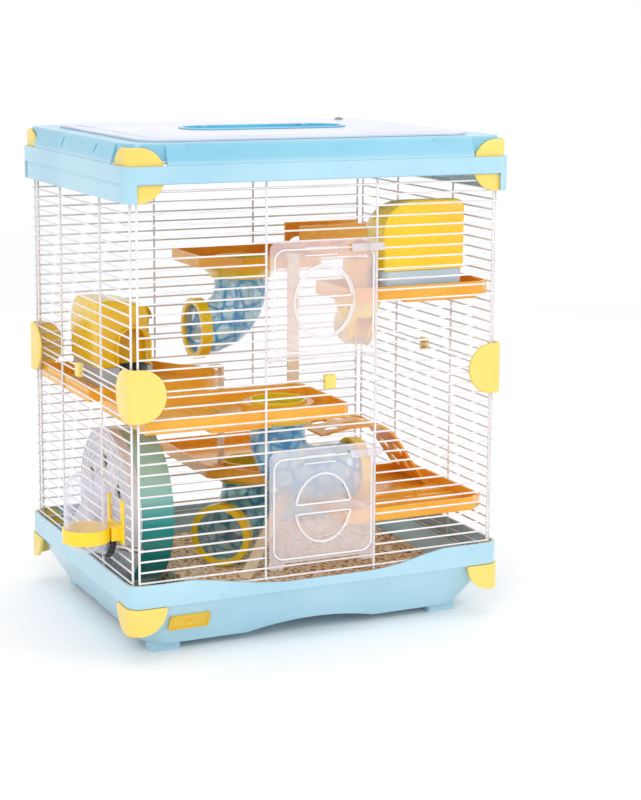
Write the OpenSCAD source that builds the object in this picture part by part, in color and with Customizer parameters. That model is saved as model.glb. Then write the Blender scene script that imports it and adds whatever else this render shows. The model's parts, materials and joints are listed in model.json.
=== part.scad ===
// Two-storey wire hamster cage: tray, lid, wire walls, corner clips, doors,
// platforms, tubes, wheel, huts, ladders and water bottle.
// Millimetres, Z up, front at -Y, origin at the bottom centre.

/* [Cage] */
// Width of the wire walls, between the left and right wire planes
cage_w = 412; // [404:2:424]
// Depth of the wire walls, between the front and back wire planes
cage_d = 326; // [320:2:336]
// Diameter of the wires
wire_d = 2; // [1.6:0.1:2.2]
// Distance between neighbouring horizontal wires
pitch = 11; // [10.9:0.05:11.1]

/* [Tray and lid] */
// Height of the tray feet
foot_h = 9; // [6:0.5:12]
// Wall thickness of the tray and lid mouldings
wall = 2.2; // [1.8:0.1:2.4]
// Depth of the dip in the front and back rim
rim_dip = 14; // [8:1:16]
// Height of the bedding surface above the table
bed_z = 43; // [34:1:44]

/* [Corner clips] */
// Height of the round corner clips
clip_h = 54; // [44:1:56]
// Length of each leg of a corner clip
clip_leg = 40; // [36:1:42]

/* [Doors] */
// Width of each door
door_w = 120; // [112:1:121]
// Height of each door
door_h = 119; // [112:1:120]
// Thickness of the door panels
door_t = 2.6; // [2:0.1:3]

/* [Inside] */
// Diameter of the exercise wheel
wheel_d = 168; // [150:2:172]
// Width of the wheel drum
wheel_w = 46; // [38:1:50]
// Outer diameter of the tubes
tube_d = 60; // [54:1:60]
// Length of the huts
hut_l = 96; // [84:1:98]
// Width of the huts
hut_w = 66; // [56:1:68]
// Width of the ladders
ladder_w = 14; // [10:1:18]

/* [Bottle] */
// Diameter of the water bottle
bottle_d = 43; // [38:1:44]
// Height of the top of the water bottle
bottle_top = 193; // [186:1:200]

/* [Hidden] */
$fn = 32;
hx = cage_w/2;
hy = cage_d/2;
wr = wire_d/2;
e = 0.01;
seam_z = 273;
lo_z = seam_z - 3;
up_z = seam_z + 3;
n_h = 20;
lo_b = lo_z - (n_h-1)*pitch;
up_t = up_z + (n_h-1)*pitch;
door_x = 62;
lo_hinge = lo_z - 17*pitch;
up_hinge = up_z + 2*pitch;
door_open = 11*pitch;
bx = hx + wr + 4.2;
by = hy + wr + 4.2;
belt_b = 58;
belt_t = 81.5;
lid_b = 481;
lid_m = 503;
lid_t = 520.5;
tr = tube_d/2;
rr = 35.5;
bend = 45;
wx = -170;
wy = 28;
wz = 115;
bex = -hx - 34;
bey = -118;
cap_z = lo_z - 14.5*pitch + (-hx-bex)*tan(17);

ox = (bottle_d/2 + 2.6 - bex - bx - 3.6)/2;
oy = (hy + wr + 6.1 + door_t - by - 3.6)/2;

// moves a piece so that the footprint's centre is the origin
module place() { translate([ox, oy, 0]) children(); }
// rounded rectangle, half sizes x and y
module rrect(x, y, r) {
  square([2*x-2*r, 2*y], center=true);
  square([2*x, 2*y-2*r], center=true);
  for (i=[-1,1], j=[-1,1]) translate([i*(x-r), j*(y-r)]) circle(r=r);
}
module slab(x, y, r, z, h) { translate([0,0,z]) linear_extrude(h) rrect(x, y, r); }
module wire(a, b, round=false) {
  v = b - a; l = norm(v);
  translate(a) rotate([0, acos(v[2]/l), atan2(v[1], v[0])])
    if (round) cylinder(r=wr, h=l); else rotate([0,0,22.5]) cylinder(r=wr, h=l, $fn=8);
}
// one wire wall; along X when side is false. gap = [z0, z1] of a doorway
module wall_panel(z0, z1, side, s, gap=[0,0], hinge=-1) {
  c = side ? hx : hy;
  l = side ? hy-5.4 : hx-5.4;
  iv = side ? hy*0.4 : door_x;
  zs = [for (k=[0:n_h-1]) z0 + k*pitch];
  for (z=zs) {
    if (z > gap[0]+1 && z < gap[1]-1) {
      for (i=[-1,1]) wire([i*(door_x-0.6), s*c, z], [i*l, s*c, z]);
    } else if (abs(z-hinge) < 1) {
      for (i=[-1,1]) wire([i*(door_x-0.8), s*c, z], [i*l, s*c, z]);
      wire([-door_x, s*c, z], [door_x, s*c, z], true);
    } else if (side) wire([s*c, -l, z], [s*c, l, z]);
    else wire([-l, s*c, z], [l, s*c, z]);
  }
  for (q=[-l+1.4, -iv, iv, l-1.4])
    if (side) wire([s*(c-1.7*wr), q, z0-wr], [s*(c-1.7*wr), q, z1+wr]);
    else wire([q, s*(c-1.7*wr), z0-wr], [q, s*(c-1.7*wr), z1+wr]);
}
// shallow shelf tray from an outline
module shelf(pts, z, h, t=2.6) {
  translate([0,0,z]) difference() {
    linear_extrude(h) polygon(pts);
    translate([0,0,t]) linear_extrude(h) offset(delta=-2.8) polygon(pts);
  }
}
function arc(cx, cy, r, a0, a1, n) = [for (i=[0:n]) [cx + r*cos(a0+(a1-a0)*i/n), cy + r*sin(a0+(a1-a0)*i/n)]];
// L shaped shell round a corner, between two rounded outlines
module corner_2d(o, i, leg, r) {
  intersection() {
    difference() { rrect(bx-4.2+o, by-4.2+o, r); rrect(bx-4.2+i, by-4.2+i, r-(o-i)); }
    union() for (a=[-1,1], b=[-1,1]) translate([a*(bx-4.2+o-leg/2), b*(by-4.2+o-leg/2)]) square([leg+0.02, leg+0.02], center=true);
  }
}
module one_corner_2d(o, i, leg, r, a, b) {
  intersection() {
    corner_2d(o, i, leg, r);
    translate([a*(bx-leg/2), b*(by-leg/2)]) square([leg+14, leg+14], center=true);
  }
}
// round-ended clip bent round one corner
module corner_clip(a, b, zc) {
  ro = clip_h/2;
  intersection() {
    translate([0,0,zc-ro]) linear_extrude(2*ro) one_corner_2d(4, 0.9, clip_leg, 9, a, b);
    union() {
      for (q=[0,1]) {
        m = q==0 ? [a*(hx+wr+4-clip_leg+ro), b*(by-4), zc] : [a*(bx-4), b*(hy+wr+4-clip_leg+ro), zc];
        translate(m) rotate(q==0 ? [90,0,0] : [0,90,0]) cylinder(r=ro, h=30, center=true);
      }
      translate([a*(bx-4), b*(by-4), zc]) cube([22, 22, 2*ro], center=true);
    }
  }
}
module tray_shape() {
  difference() {
    union() {
      hull() { slab(bx-3, by-3, 17, belt_b-1, 1); slab(bx-29, by-29, 24, foot_h, 1); }
      difference() {
        slab(bx, by, 14, belt_b, belt_t-belt_b);
        for (s=[-1,1]) translate([0, s*by, 0]) rotate([90,0,0]) linear_extrude(24, center=true)
          polygon([[-150,belt_t+1], [-118,belt_t-rim_dip*0.25], [-72,belt_t-rim_dip*0.82], [-40,belt_t-rim_dip], [60,belt_t-rim_dip], [88,belt_t-rim_dip*0.8], [122,belt_t-rim_dip*0.25], [150,belt_t+1]]);
      }
      for (i=[-1,1], j=[-1,1]) translate([i*(bx-50), j*(by-44), 0]) linear_extrude(foot_h+4) rrect(17, 9, 4);
    }
    hull() { slab(bx-3-wall-1.4, by-3-wall-1.4, 14, belt_b+1, 1); slab(bx-31-wall, by-31-wall, 20, 20, 1); }
    slab(bx-wall, by-wall, 12, belt_b+1.6, 30);
    translate([0,0,-282]) rotate([90,0,0]) cylinder(r=300, h=400, center=true);
    translate([0,0,belt_b-4]) linear_extrude(belt_t) corner_2d(1.9, 0.6, clip_leg+0.6, 12);
  }
}
module bedding_shape() {
  difference() {
    hull() {
      slab(bx-34.4, by-34.4, 20, 20.2, 0.5);
      slab(bx-24, by-24, 18, bed_z-4, 0.5);
      slab(bx-60, by-60, 30, bed_z-0.5, 0.5);
    }
    translate([wx-16, wy-wheel_d/2-8, 17]) cube([wheel_w+34, wheel_d+16, 60]);
  }
}
module name_plate_shape() {
  translate([-144, -(by-29) - 26*(36-foot_h)/(belt_b-foot_h), 36]) rotate([90+atan(26/(belt_b-foot_h)),0,0]) {
    translate([0,0,0.4]) linear_extrude(1.6) rrect(22, 9, 2.5);
    translate([0,0,2-e]) linear_extrude(1) difference() { rrect(22, 9, 2.5); rrect(20, 7, 1.5); }
    translate([0,-1.5,2-e]) cylinder(r=3, h=0.8);
    for (i=[-1.5:1:1.5]) translate([i*2.8, 3.4-abs(i)*0.9, 2-e]) cylinder(r=1.1, h=0.8);
  }
}
module tray_clips_shape() {
  for (a=[-1,1], b=[-1,1]) {
    intersection() {
      union() {
        translate([0,0,belt_b-1.0]) linear_extrude(24.5) one_corner_2d(1.6, 0.9, clip_leg, 11.4, a, b);
        translate([0,0,belt_b-3.6]) linear_extrude(3) one_corner_2d(5.6, 0.9, clip_leg, 14, a, b);
        translate([0,0,belt_b-28]) linear_extrude(24.6) one_corner_2d(5.6, 2.4, clip_leg, 14, a, b);
      }
      union() {
        translate([a*bx, b*by, 57]) cube([2*clip_leg-clip_h-2.8, 2*clip_leg-clip_h-2.8, 56], center=true);
        translate([a*(bx+1.4-clip_leg+clip_h/2), b*(by-4), 57]) rotate([90,0,0]) cylinder(r=clip_h/2, h=30, center=true);
        translate([a*(bx-4), b*(by+1.4-clip_leg+clip_h/2), 57]) rotate([0,90,0]) cylinder(r=clip_h/2, h=30, center=true);
      }
    }
  }
}
module lower_front_shape() { wall_panel(lo_b, lo_z, false, -1, [lo_hinge, lo_hinge+door_open], lo_hinge); }
module lower_back_shape() { wall_panel(lo_b, lo_z, false, 1); }
module lower_left_shape() { wall_panel(lo_b, lo_z, true, -1); }
module lower_right_shape() { wall_panel(lo_b, lo_z, true, 1); }
module upper_front_shape() { wall_panel(up_z, up_t, false, -1, [up_hinge, up_hinge+door_open], up_hinge); }
module upper_back_shape() { wall_panel(up_z, up_t, false, 1); }
module upper_left_shape() { wall_panel(up_z, up_t, true, -1); }
module upper_right_shape() { wall_panel(up_z, up_t, true, 1); }
// small square clip gripping the two wires at the seam, outside the wall
module seam_clip() {
  difference() {
    translate([-6,-wr-2.6,-7]) cube([12, wr+5.2, 14]);
    translate([-10,-wr-0.05,-3-wr-0.05]) cube([20, wr+6, 2*wr+0.1]);
    translate([-10,-wr-0.05,3-wr-0.05]) cube([20, wr+6, 2*wr+0.1]);
  }
}
module seam_clips_shape() {
  translate([8,-hy,seam_z]) seam_clip();
  translate([-8,hy,seam_z]) rotate(180) seam_clip();
  translate([-hx,0,seam_z]) rotate(-90) seam_clip();
  translate([hx,0,seam_z]) rotate(90) seam_clip();
}
module clip_at(a, b) { corner_clip(a, b, seam_z); }
module clip_fl_shape() { clip_at(-1,-1); }
module clip_fr_shape() { clip_at(1,-1); }
module clip_bl_shape() { clip_at(-1,1); }
module clip_br_shape() { clip_at(1,1); }
module lid_shape() {
  difference() {
    union() {
      slab(bx+2, by+2, 18, lid_b-18, lid_m-lid_b+18);
      hull() { slab(bx+1.4, by+1.4, 18, lid_m-0.5, 0.5); slab(bx-4, by-4, 16, lid_t-0.5, 0.5); }
    }
    slab(bx+2-wall, by+2-wall, 16, lid_b-20, lid_m-lid_b+17);
    hull() { slab(bx-wall-1, by-wall-1, 16, lid_m-3.5, 0.5); slab(bx-6-wall, by-6-wall, 14, lid_t-wall-0.5, 0.5); }
    slab(hx-26, hy-24, 26, lid_t-10, 20);
    for (s=[-1,1]) translate([0, s*by, 0]) rotate([90,0,0]) linear_extrude(20, center=true)
      polygon([[-bx+12,lid_b], [-bx+9,lid_b-4], [-bx+7,lid_b-19], [bx-7,lid_b-19], [bx-9,lid_b-4], [bx-12,lid_b]]);
    translate([0,0,lid_b-19]) linear_extrude(38) corner_2d(5.2, 0.2, clip_leg+2, 10);
    translate([0,0,lid_m-5]) linear_extrude(21) corner_2d(8, 0.2, clip_leg+5, 13);
    for (s=[-72,34]) translate([-bx-5, s, lid_m+8]) rotate([24,0,0]) translate([0,-1.2,-5]) cube([14, 2.4, 10]);
  }
  for (i=[-1,1], j=[-1,1]) {
    translate([i*(hx-70), j*(hy-1), up_t+wr+1.2]) translate([-12,-4,0]) cube([24, 8, lid_t-up_t-wr-1.2-wall+0.4]);
  }
  // belts over the corner clips
  difference() {
    slab(bx+3.6, by+3.6, 15, lid_b+1, lid_m-lid_b-5);
    slab(bx+1.2, by+1.2, 12.6, lid_b, lid_m-lid_b+2);
  }
  translate([0,0,lid_b-18]) linear_extrude(20) corner_2d(7.8, 5.4, 13, 15);
}
module lid_clips_shape() {
  for (a=[-1,1], b=[-1,1]) corner_clip(a, b, 490);
}
module roof_panel_shape() {
  difference() {
    union() {
      slab(hx-20, hy-18, 30, lid_t+0.1, 2.6);
      slab(hx-34, hy-32, 22, lid_t+2.7-e, 1.2);
      slab(hx-26.6, hy-24.6, 25.4, lid_t-2, 2.2);
    }
    slab(hx-37, hy-35, 20, lid_t-4, 5);
    translate([0,-10,lid_t-6]) linear_extrude(20) hull() for (i=[-1,1]) translate([i*62,0]) circle(r=30.4);
  }
}
module handle_cup_shape() {
  translate([0,-10,lid_t-7]) difference() {
    union() {
      linear_extrude(9.2) hull() for (i=[-1,1]) translate([i*62,0]) circle(r=30);
      translate([0,0,11.2]) linear_extrude(1.2) hull() for (i=[-1,1]) translate([i*62,0]) circle(r=33);
      translate([0,0,9.2-e]) linear_extrude(2.2) hull() for (i=[-1,1]) translate([i*62,0]) circle(r=30);
    }
    translate([0,0,2]) linear_extrude(20) hull() for (i=[-1,1]) translate([i*62,0]) circle(r=28);
  }
  for (i=[-1,1]) translate([i*62-(i>0?6:0), 8, lid_t-5-e]) difference() {
    cube([6, 10, 9.8]);
    translate([-1,5,5]) rotate([0,90,0]) cylinder(r=2.06, h=9);
  }
}
module carry_handle_shape() {
  translate([0,-10,lid_t]) {
    for (i=[-1,1]) translate([i*52,0,0]) {
      translate([-4,-14,-2.4]) cube([8, 30, 4.8]);
    }
    translate([-56,-20,-2.4]) cube([112, 9, 4.8]);
    for (i=[-1,1]) translate([i>0 ? 48 : -61.9, 23, 0]) rotate([0,90,0]) cylinder(r=2, h=13.9);
    for (i=[-1,1]) translate([i*52-4, 15.9, -2.4]) cube([8, 9.5, 4.8]);
  }
}
module lid_latch_shape() {
  translate([hx-62, hy-62, lid_t+3.95]) { cylinder(r=5, h=1.6); translate([-1,-4,1.5]) cube([2, 8, 1]); }
}
module door_panel(h) {
  y0 = -hy-wr-0.5-door_t;
  translate([0, y0, h]) {
    difference() {
      union() {
        translate([0,door_t,3+door_h/2]) rotate([90,0,0]) linear_extrude(door_t) rrect(door_w/2, (door_h-1)/2, 9);
        translate([0,0.2,4+door_h*0.46]) rotate([90,0,0]) linear_extrude(1.4) scale([1,1.14]) circle(r=33);
        for (i=[-1,1]) translate([i*52-8, 0, 0]) cube([16, door_t, 8]);
      }
      for (s=[-1,1]) translate([0,-0.9,4+door_h*0.46]) rotate([90,0,0]) linear_extrude(4) intersection() {
        scale([1,1.14]) circle(r=30.4);
        translate([-40, s>0 ? 4 : -44]) square([80, 40]);
      }
      for (s=[-1,1]) translate([0,1.2,4+door_h*0.46]) rotate([90,0,0]) linear_extrude(4) intersection() {
        scale([1,1.14]) circle(r=29);
        translate([-40, s>0 ? 5.4 : -45.4]) square([80, 40]);
      }
      translate([door_w/2-32, -3, door_h-10]) cube([36, 10, 7.4]);
    }
    translate([-22, -1.2+e, door_h-8]) cube([34, 1.2, 3]);
    for (i=[-1,1]) difference() {
      union() {
        translate([i*52-7, hy+0*y0+0, 0]) translate([0,-hy+wr+0.5+door_t,0]) rotate([0,90,0]) cylinder(r=wr+1.7, h=14);
        translate([i*52-7, 0.0, -wr-1.4]) cube([14, wr+0.5+door_t, 2*wr+4]);
      }
      translate([i*52-9, wr+0.5+door_t, 0]) rotate([0,90,0]) cylinder(r=wr+0.06, h=18);
    }
  }
}
module latch(h) {
  translate([door_w/2-30, -hy-wr-0.5-door_t, h+door_h-9.7]) {
    translate([0,-3.6,-0.6]) cube([36, 3.2, 8]);
    translate([9,-0.45,0.2]) cube([10, door_t+0.2, 6.4]);
    translate([18,-5.6,0]) cube([8, 2.1, 6.8]);
  }
}
module upper_door_shape() { door_panel(up_hinge); }
module upper_latch_shape() { latch(up_hinge); }
module lower_door_shape() { door_panel(lo_hinge); }
module lower_latch_shape() { latch(lo_hinge); }
module wheel_drum_shape() {
  translate([wx+12, wy, wz]) rotate([0,90,0]) {
    difference() { cylinder(r=wheel_d/2, h=wheel_w-10); translate([0,0,-1]) cylinder(r=wheel_d/2-2.4, h=wheel_w); }
    difference() { translate([0,0,wheel_w-13]) cylinder(r=wheel_d/2, h=3); translate([0,0,wheel_w-20]) cylinder(r=wheel_d/2-9, h=20); }
    for (a=[0:18:342]) rotate(a) translate([wheel_d/2-4.2, -1.2, 0]) cube([2.4, 2.4, wheel_w-11]);
  }
}
module wheel_cover_shape() {
  translate([wx, wy, wz]) rotate([0,90,0]) difference() {
    union() {
      cylinder(r=wheel_d/2+2, h=2.4);
      difference() { cylinder(r=wheel_d/2+2, h=11.8); translate([0,0,-1]) cylinder(r=wheel_d/2-0.4, h=20); }
      cylinder(r=11, h=16);
    }
    translate([0,0,-1]) cylinder(r=4.06, h=14);
    for (a=[0:60:300]) rotate(a) translate([wheel_d*0.3,0,-1]) cylinder(r=8, h=6);
  }
}
module wheel_stand_shape() {
  translate([wx, wy, wz]) rotate([0,90,0]) {
    translate([0,0,-14]) cylinder(r=4, h=24);
    translate([0,0,-16]) cylinder(r=14, h=6);
  }
  for (s=[-1,1]) hull() {
    translate([wx-22, wy, wz]) rotate([0,90,0]) cylinder(r=12, h=6.1);
    translate([-hx+wr+3.6, wy+s*34, 76]) rotate([0,90,0]) cylinder(r=8, h=6);
  }
  translate([-hx+wr+2.3, wy-44, 66]) cube([8, 88, 22]);
}
function lsh() = concat([[-hx+3,-19.6],[-150,-19.6]], arc(-88,36,50,-75,60,10), [[-88,120],[-94,145],[-hx+3,145]]);
module left_shelf_shape() {
  difference() {
    shelf(lsh(), 241, 14);
  }
}
module hut_profile() {
  polygon(concat([[hut_l/2,0],[hut_l/2,70]], [[hut_l/2-3,73]], arc(-hut_l*0.13, 37, 36, 90, 180, 8), [[-hut_l/2+1.5,0]]));
}
module hut_roof_local() {
  difference() {
    union() {
      rotate([90,0,0]) linear_extrude(hut_w, center=true) hut_profile();
      translate([hut_l/2-e, hut_w*0.12, 0]) rotate([0,90,0]) linear_extrude(2.5) union() { translate([-24,0]) circle(r=20); translate([-24,-20]) square([24,40]); }
    }
    translate([0,0,-1]) rotate([90,0,0]) linear_extrude(hut_w-4.4, center=true) offset(delta=-2.2) hut_profile();
    translate([0,0,-1]) linear_extrude(20) square([hut_l-4.6, hut_w-4.4], center=true);
    translate([hut_l/2-10, hut_w*0.12, -1]) rotate([0,90,0]) linear_extrude(20) union() { translate([-24,0]) circle(r=17.5); translate([-24,-17.5]) square([30,35]); }
  }
}
module hut_base_local(h) {
  difference() {
    linear_extrude(h) rrect(hut_l/2-1, hut_w/2-1, 7);
    translate([0,0,2]) linear_extrude(h) rrect(hut_l/2-3.2, hut_w/2-3.2, 5);
    translate([hut_l/2-8, hut_w*0.12-16, 6]) cube([20, 32, 30]);
  }
}
module at_right_hut(z) { translate([123, -118, z]) children(); }
module at_left_hut(z) { translate([-139, 88, z]) rotate(-90) children(); }
module left_hut_base_shape() { at_left_hut(243.7) hut_base_local(20); }
module left_hut_roof_shape() { at_left_hut(264.1) hut_roof_local(); }
module right_hut_base_shape() { at_right_hut(354.7) hut_base_local(26); }
module right_hut_roof_shape() { at_right_hut(381.1) hut_roof_local(); }
mpx = -16; mpy = -87;
module middle_platform_shape() {
  difference() {
    union() {
      shelf([[-190,-157],[29,-157],[37,-149],[37,-40],[29,-32],[-128,-32],[-140,-20],[-190,-20]], 232, 14);
      translate([-120,-155,227.5]) cube([67, 36, 4.6]);
      translate([mpx,mpy,232]) cylinder(r=rr+3, h=8);
    }
    translate([mpx,mpy,220]) cylinder(r=tr+0.5, h=40);
  }
}
// collar that joins a platform hole and a tube end; z is the platform underside
module collar(x, y, z, top, flare=0) {
  translate([x,y,z]) difference() {
    union() { translate([0,0,-12]) cylinder(r=rr, h=11.8); translate([0,0,-1]) cylinder(r=tr+0.2, h=top+1); if (flare > 0) translate([0,0,-9.6]) cylinder(r1=rr, r2=rr+flare, h=9.4); }
    translate([0,0,-14]) cylinder(r=tr+0.15, h=10);
    translate([0,0,-20]) cylinder(r=tr-2.4, h=60);
  }
}
module middle_ring_shape() { collar(mpx, mpy, 232, 11); }
// collar facing along +X from its socket at the origin
module end_ring() {
  rotate([0,90,0]) difference() {
    cylinder(r=rr-1, h=12);
    translate([0,0,-1]) cylinder(r=tr+0.15, h=9);
    translate([0,0,-1]) cylinder(r=tr-2.4, h=20);
  }
}
module pipe(h) {
  difference() { cylinder(r=tr, h=h); translate([0,0,-1]) cylinder(r=tr-2, h=h+2); }
}
// tube from a vertical mouth at the origin, dropping by d and turning to +X for l
module elbow(d, l) {
  translate([0,0,-d]) pipe(d);
  translate([bend,0,-d]) intersection() {
    rotate([90,0,0]) rotate_extrude() translate([bend,0]) difference() { circle(r=tr); circle(r=tr-2); }
    translate([-2*bend,-2*bend,-2*bend]) cube([2*bend,4*bend,2*bend]);
  }
  translate([bend,0,-d-bend]) rotate([0,90,0]) pipe(l);
}
module tube_top_shape() { translate([tpx,tpy,358.8]) rotate(180) elbow(20, 10); }
module tube_top_ring_shape() { translate([tpx,tpy,293.8]) rotate(180) translate([bend+10-7.8,0,0]) end_ring(); }
module tube_middle_shape() { translate([mpx,mpy,227.8]) elbow(24.8, 47); }
module tube_middle_ring_shape() { translate([mpx,mpy,158]) translate([bend+47-7.8,0,0]) end_ring(); }
bpx = 4; bpy = 40;
module tube_low_shape() { translate([bpx,bpy,133.8]) rotate(-135) elbow(9, 34); }
module tube_low_ring_shape() { translate([bpx,bpy,79.8]) rotate(-135) translate([bend+34-7.8,0,0]) end_ring(); }
module right_shelf_shape() {
  difference() {
    shelf([[30,-150],[37,-157],[190,-157],[hx-4,-146],[hx-4,-82],[30,-82]], 352, 14);
    translate([62,-118,340]) cylinder(r=11, h=30);
  }
  translate([100,-154,348]) cube([85, 30, 4.1]);
  translate([60.6,-118,353]) difference() { cylinder(r=14.6, h=39); translate([0,0,-3]) cylinder(r=12.2, h=50); }
}
module shelf_funnel_shape() {
  translate([62,-118,352]) difference() {
    union() { translate([0,0,-44]) cylinder(r1=13, r2=26, h=43.8); }
    translate([0,0,-45]) cylinder(r1=10.6, r2=24, h=46);
    translate([-10,-40,-50]) cube([60, 38, 30]);
  }
}
tpx = 13; tpy = 84;
module top_platform_shape() {
  difference() {
    union() {
      shelf([[-42,157],[-42,72],[-6,34],[88,34],[96,42],[96,157]], 363, 14);
      translate([tpx,tpy,363]) cylinder(r=rr+3, h=7);
    }
    translate([tpx,tpy,350]) cylinder(r=tr+0.5, h=40);
  }
}
module top_ring_shape() { collar(tpx, tpy, 363, 10, 11); }
module fence(l, h) {
  difference() {
    cube([l, 3, h]);
    for (i=[0:2]) translate([l*(i+0.5)/3, -1, -h*0.28]) rotate([-90,0,0]) cylinder(r=l/6-2.5, h=6);
  }
}
module top_bridge_shape() {
  shelf([[98,110],[hx-4,110],[hx-4,157],[98,157]], 363, 14);
  translate([100,110.1,376.9]) fence(96, 24);
  translate([100,152.9,376.9]) fence(96, 24);
}
module back_platform_shape() {
  difference() {
    union() {
      shelf([[-58,157],[-58,12],[-18,-36],[70,-36],[92,-12],[92,157]], 138, 14);
      translate([bpx,bpy,138]) cylinder(r=rr+3, h=7);
    }
    translate([bpx,bpy,120]) cylinder(r=tr+0.5, h=40);
  }
}
module back_ring_shape() { collar(bpx, bpy, 138, 10); }
module low_platform_shape() {
  difference() {
    shelf([[30,-157],[184,-157],[hx-6,-143],[hx-6,21],[104,21],[30,-46]], 117, 14);
    translate([28, mpy-tr-1, 126]) cube([8, 2*tr+2, 10]);
  }
  for (i=[0:5]) translate([86, -150+i*18, 119.5]) cube([110, 4, 2.2]);
}
module low_bridge_shape() {
  difference() {
    translate([0, 17.6, 0]) rotate([90,0,0]) linear_extrude(65)
      polygon([[56,188],[68,192],[90,195],[114,195.5],[130,193],[139,188],[146,181],[188,119.8],[184.4,119.8],[143.5,178.6],[137,185],[128.6,190],[113.8,192.4],[90,192],[68.5,189],[57,185.2]]);
    for (x=[74,98,122], s=[-1,1]) translate([x, -15+s*16, 170]) cylinder(r=9, h=40);
    for (t=[24,47], s=[-1,1]) translate([146+0.566*t, -15+s*16, 181-0.825*t]) rotate([0,55.6,0]) cylinder(r=9, h=20, center=true);
  }
}
module ladder(l) {
  translate([-ladder_w/2, 0, 0]) cube([ladder_w, 2.4, l]);
  for (z=[6:10:l-4]) translate([-ladder_w/2+1, -1.2+e, z]) cube([ladder_w-2, 1.2, 3]);
}
module ladder_top_shape() {
  translate([54, 27, 154]) { ladder(226); translate([-ladder_w/2, 0, 223.6]) cube([ladder_w, 12.8, 2.4]); translate([-ladder_w/2, 10.4, 218]) cube([ladder_w, 2.4, 7]); }
}
module ladder_middle_shape() {
  translate([-27, 42, 0]) rotate(90) {
    translate([0, 0, 145.3]) ladder(100.7);
    translate([-ladder_w/2, 0, 245.9]) cube([ladder_w, 2.4, 12]);
    translate([-ladder_w/2, 0, 255.5]) cube([ladder_w, 13, 2.4]);
  }
}
module ladder_low_shape() {
  translate([-48, -76, 45.4]) rotate([0,40.3,26.2]) rotate(90) ladder(122);
}
module bottle_shape() {
  translate([bex, bey, 0]) difference() {
    union() {
      translate([0,0,130]) cylinder(r=bottle_d/2, h=bottle_top-bottle_d/2-130);
      translate([0,0,bottle_top-bottle_d/2]) sphere(r=bottle_d/2);
      translate([0,0,130]) sphere(r=bottle_d/2);
      translate([0,0,cap_z]) rotate([0,107,0]) cylinder(r=9.5, h=22);
    }
    translate([0,0,130]) cylinder(r=bottle_d/2-1.4, h=bottle_top-bottle_d/2-130);
    translate([0,0,bottle_top-bottle_d/2]) sphere(r=bottle_d/2-1.4);
    translate([0,0,130]) sphere(r=bottle_d/2-1.4);
    translate([0,0,cap_z]) rotate([0,107,0]) cylinder(r=8, h=24);
  }
}
module cap_axis() { translate([bex, bey, cap_z]) rotate([0,107,0]) children(); }
module bottle_cap_shape() {
  cap_axis() difference() {
    union() {
      translate([0,0,22.1]) cylinder(r=11.5, h=6);
      for (a=[0:30:330]) rotate(a) translate([11.2,0,22.1]) cylinder(r=1, h=6);
    }
    translate([0,0,20]) cylinder(r=3.05, h=20);
  }
}
module sipper_tube_shape() {
  cap_axis() difference() {
    union() { translate([0,0,17]) cylinder(r=3, h=46); translate([0,0,17]) cylinder(r=6, h=4.9); }
    translate([0,0,16]) cylinder(r=2.2, h=44);
  }
}
module bottle_holder_shape() {
  difference() {
    union() {
      translate([bex, bey, 121]) cylinder(r=bottle_d/2+2.6, h=14);
      translate([bex+bottle_d/2+0.6, bey-14, 121]) cube([-hx-wr-0.6-bex-bottle_d/2-0.6, 28, 14]);
      translate([-hx-wr-2.9, bey-24, 119]) cube([2.3, 48, 18]);
      for (s=[-1,1]) translate([-hx-wr-2.9, bey+s*20-4, 119]) cube([2.3, 8, 44]);
    }
    translate([bex, bey, 110]) cylinder(r=bottle_d/2+0.15, h=40);
    cap_axis() cylinder(r=13, h=60);
  }
}

// the pieces, in place and coloured
module tray() { color("#a8d8ee") place() tray_shape(); }
module bedding() { color("#a9805a") place() bedding_shape(); }
module name_plate() { color("#f0d040") place() name_plate_shape(); }
module tray_clips() { color("#f5e06a") place() tray_clips_shape(); }
module lower_front() { color("#f4f4f4") place() lower_front_shape(); }
module lower_back() { color("#f4f4f4") place() lower_back_shape(); }
module lower_left() { color("#f4f4f4") place() lower_left_shape(); }
module lower_right() { color("#f4f4f4") place() lower_right_shape(); }
module upper_front() { color("#f4f4f4") place() upper_front_shape(); }
module upper_back() { color("#f4f4f4") place() upper_back_shape(); }
module upper_left() { color("#f4f4f4") place() upper_left_shape(); }
module upper_right() { color("#f4f4f4") place() upper_right_shape(); }
module seam_clips() { color("#f5e06a") place() seam_clips_shape(); }
module clip_fl() { color("#f5e06a") place() clip_fl_shape(); }
module clip_fr() { color("#f5e06a") place() clip_fr_shape(); }
module clip_bl() { color("#f5e06a") place() clip_bl_shape(); }
module clip_br() { color("#f5e06a") place() clip_br_shape(); }
module lid() { color("#a8d8ee") place() lid_shape(); }
module lid_clips() { color("#f5e06a") place() lid_clips_shape(); }
module roof_panel() { color("#eef2f5") place() roof_panel_shape(); }
module handle_cup() { color("#8cc8e8") place() handle_cup_shape(); }
module carry_handle() { color("#9ed2ee") place() carry_handle_shape(); }
module lid_latch() { color("#9aa4ac") place() lid_latch_shape(); }
module upper_door() { color("#f2eef2") place() upper_door_shape(); }
module upper_latch() { color("#ffffff") place() upper_latch_shape(); }
module lower_door() { color("#f2eef2") place() lower_door_shape(); }
module lower_latch() { color("#ffffff") place() lower_latch_shape(); }
module wheel_drum() { color("#2fb5b0") place() wheel_drum_shape(); }
module wheel_cover() { color("#f0eef2") place() wheel_cover_shape(); }
module wheel_stand() { color("#dfe3e6") place() wheel_stand_shape(); }
module left_shelf() { color("#f59a23") place() left_shelf_shape(); }
module left_hut_base() { color("#c3d3de") place() left_hut_base_shape(); }
module left_hut_roof() { color("#f7cf1d") place() left_hut_roof_shape(); }
module middle_platform() { color("#f59a23") place() middle_platform_shape(); }
module middle_ring() { color("#f7cf1d") place() middle_ring_shape(); }
module right_shelf() { color("#f59a23") place() right_shelf_shape(); }
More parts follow.
